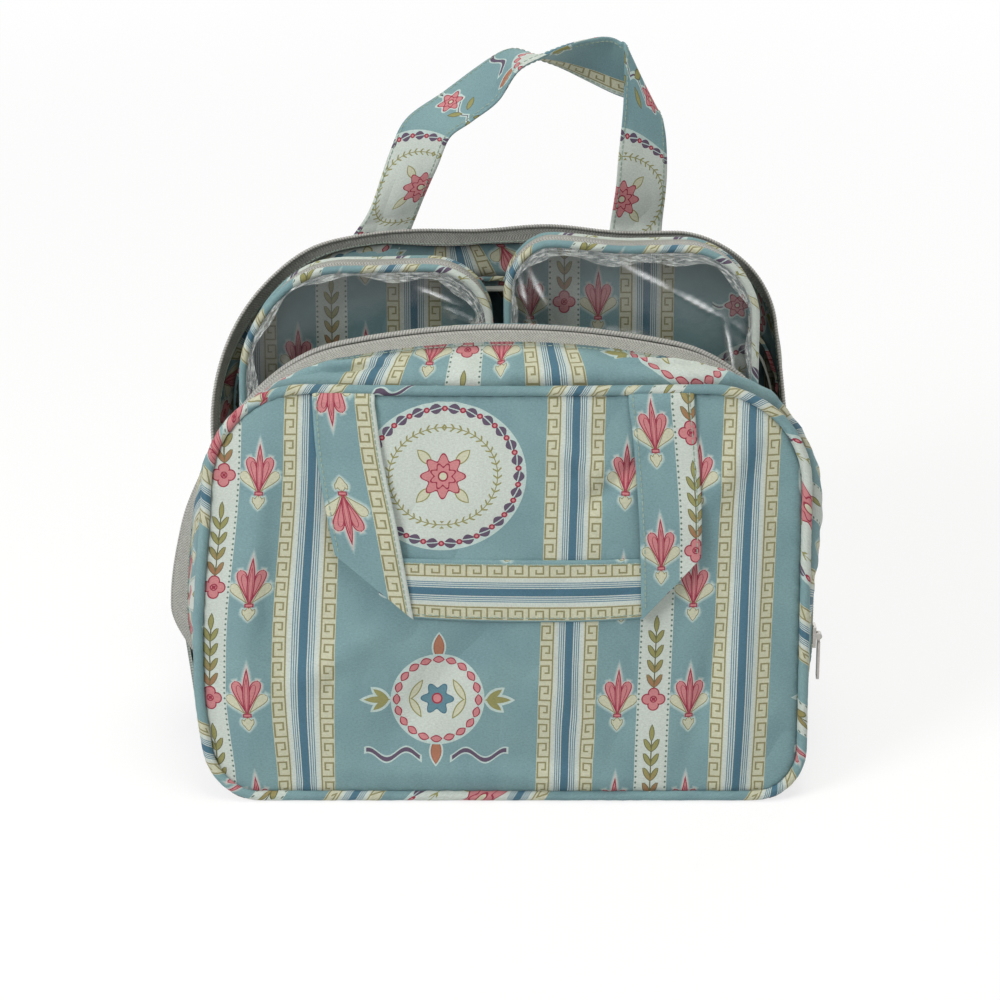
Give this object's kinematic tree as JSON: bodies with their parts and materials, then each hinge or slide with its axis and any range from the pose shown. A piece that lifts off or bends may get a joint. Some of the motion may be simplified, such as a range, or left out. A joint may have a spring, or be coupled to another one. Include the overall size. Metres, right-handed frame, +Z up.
{
  "type": "toiletry bag",
  "caption": "Soft printed toiletry bag with carry straps, a zipped front compartment and an open main compartment that holds clear-fronted zip pouches.",
  "frame": {"origin": "on the base, half way across the width, just in front of the divider seam", "axes": "+X to the right seen from the front, +Y from the front panel to the back panel, +Z up"},
  "size_m": [0.3178, 0.2142, 0.3347],
  "materials": {
    "printed_cloth": "printed coated cotton, blue-green with cream and rose",
    "strap_cloth": "printed coated cotton, folded and stitched",
    "piping_cloth": "printed cotton over cord",
    "zip_tape": "woven grey zip tape",
    "zip_teeth": "grey nylon coil",
    "clear_vinyl": "clear soft vinyl",
    "slider_metal": "nickel-plated zinc"
  },
  "bodies": {
    "bag": {"front_panel": "printed_cloth", "front_gusset": "printed_cloth", "front_base": "printed_cloth", "back_gusset": "printed_cloth", "back_base": "printed_cloth", "back_panel": "printed_cloth", "left_pouch_base": "printed_cloth", "left_pouch_back_panel": "printed_cloth", "right_pouch_base": "printed_cloth", "right_pouch_back_panel": "printed_cloth", "divider_panel": "printed_cloth", "front_handle": "strap_cloth", "back_handle": "strap_cloth", "front_piping": "piping_cloth", "divider_piping": "piping_cloth", "back_piping": "piping_cloth", "left_pouch_front_piping": "piping_cloth", "left_pouch_back_piping": "piping_cloth", "right_pouch_front_piping": "piping_cloth", "right_pouch_back_piping": "piping_cloth", "front_zip_near_tape": "zip_tape", "front_zip_far_tape": "zip_tape", "main_zip_front_tape": "zip_tape", "main_zip_back_tape": "zip_tape", "back_seam_binding": "zip_tape", "left_pouch_front_tape": "zip_tape", "left_pouch_back_tape": "zip_tape", "right_pouch_front_tape": "zip_tape", "right_pouch_back_tape": "zip_tape", "front_zip_near_teeth": "zip_teeth", "front_zip_far_teeth": "zip_teeth", "main_zip_front_teeth": "zip_teeth", "main_zip_back_teeth": "zip_teeth", "left_pouch_front_teeth": "zip_teeth", "left_pouch_back_teeth": "zip_teeth", "right_pouch_front_teeth": "zip_teeth", "right_pouch_back_teeth": "zip_teeth", "left_pouch_window": "clear_vinyl", "right_pouch_window": "clear_vinyl", "main_slider_left": "slider_metal", "main_slider_right": "slider_metal"},
    "front_slider": {"front_slider": "slider_metal"},
    "front_pull": {"front_pull": "slider_metal"},
    "main_pull_left": {"main_pull_left": "slider_metal"},
    "main_pull_right": {"main_pull_right": "slider_metal"},
    "left_pouch_slider": {"left_pouch_slider": "slider_metal"},
    "left_pouch_pull": {"left_pouch_pull": "slider_metal"},
    "right_pouch_slider": {"right_pouch_slider": "slider_metal"},
    "right_pouch_pull": {"right_pouch_pull": "slider_metal"}
  },
  "joints": [
    {"name": "front_slider_run", "type": "slide", "parent": "bag", "child": "front_slider", "axis": [0, 0.1736, 0.9848], "range_m": [0, 0.05]},
    {"name": "front_pull_swing", "type": "hinge", "parent": "front_slider", "child": "front_pull", "pos_m": [0.1598, 0.00199, 0.05936], "axis": [0, -0.9848, 0.1736], "range_deg": [0, 170]},
    {"name": "main_pull_left_swing", "type": "hinge", "parent": "bag", "child": "main_pull_left", "pos_m": [-0.1548, 0.03281, 0.05784], "axis": [0, 0.9448, -0.3276], "range_deg": [0, 170]},
    {"name": "main_pull_right_swing", "type": "hinge", "parent": "bag", "child": "main_pull_right", "pos_m": [0.1548, 0.03281, 0.05784], "axis": [0, -0.9448, 0.3276], "range_deg": [0, 170]},
    {"name": "left_pouch_slider_run", "type": "slide", "parent": "bag", "child": "left_pouch_slider", "axis": [0, 0.2135, 0.9769], "range_m": [0, 0.115]},
    {"name": "left_pouch_pull_swing", "type": "hinge", "parent": "left_pouch_slider", "child": "left_pouch_pull", "pos_m": [-0.1402, 0.0545, 0.04933], "axis": [0, 0.9769, -0.2135], "range_deg": [0, 12]},
    {"name": "right_pouch_slider_run", "type": "slide", "parent": "bag", "child": "right_pouch_slider", "axis": [0, 0.2135, 0.9769], "range_m": [0, 0.145]},
    {"name": "right_pouch_pull_swing", "type": "hinge", "parent": "right_pouch_slider", "child": "right_pouch_pull", "pos_m": [0.1318, 0.0545, 0.04933], "axis": [0, -0.9769, 0.2135], "range_deg": [0, 30]}
  ]
}
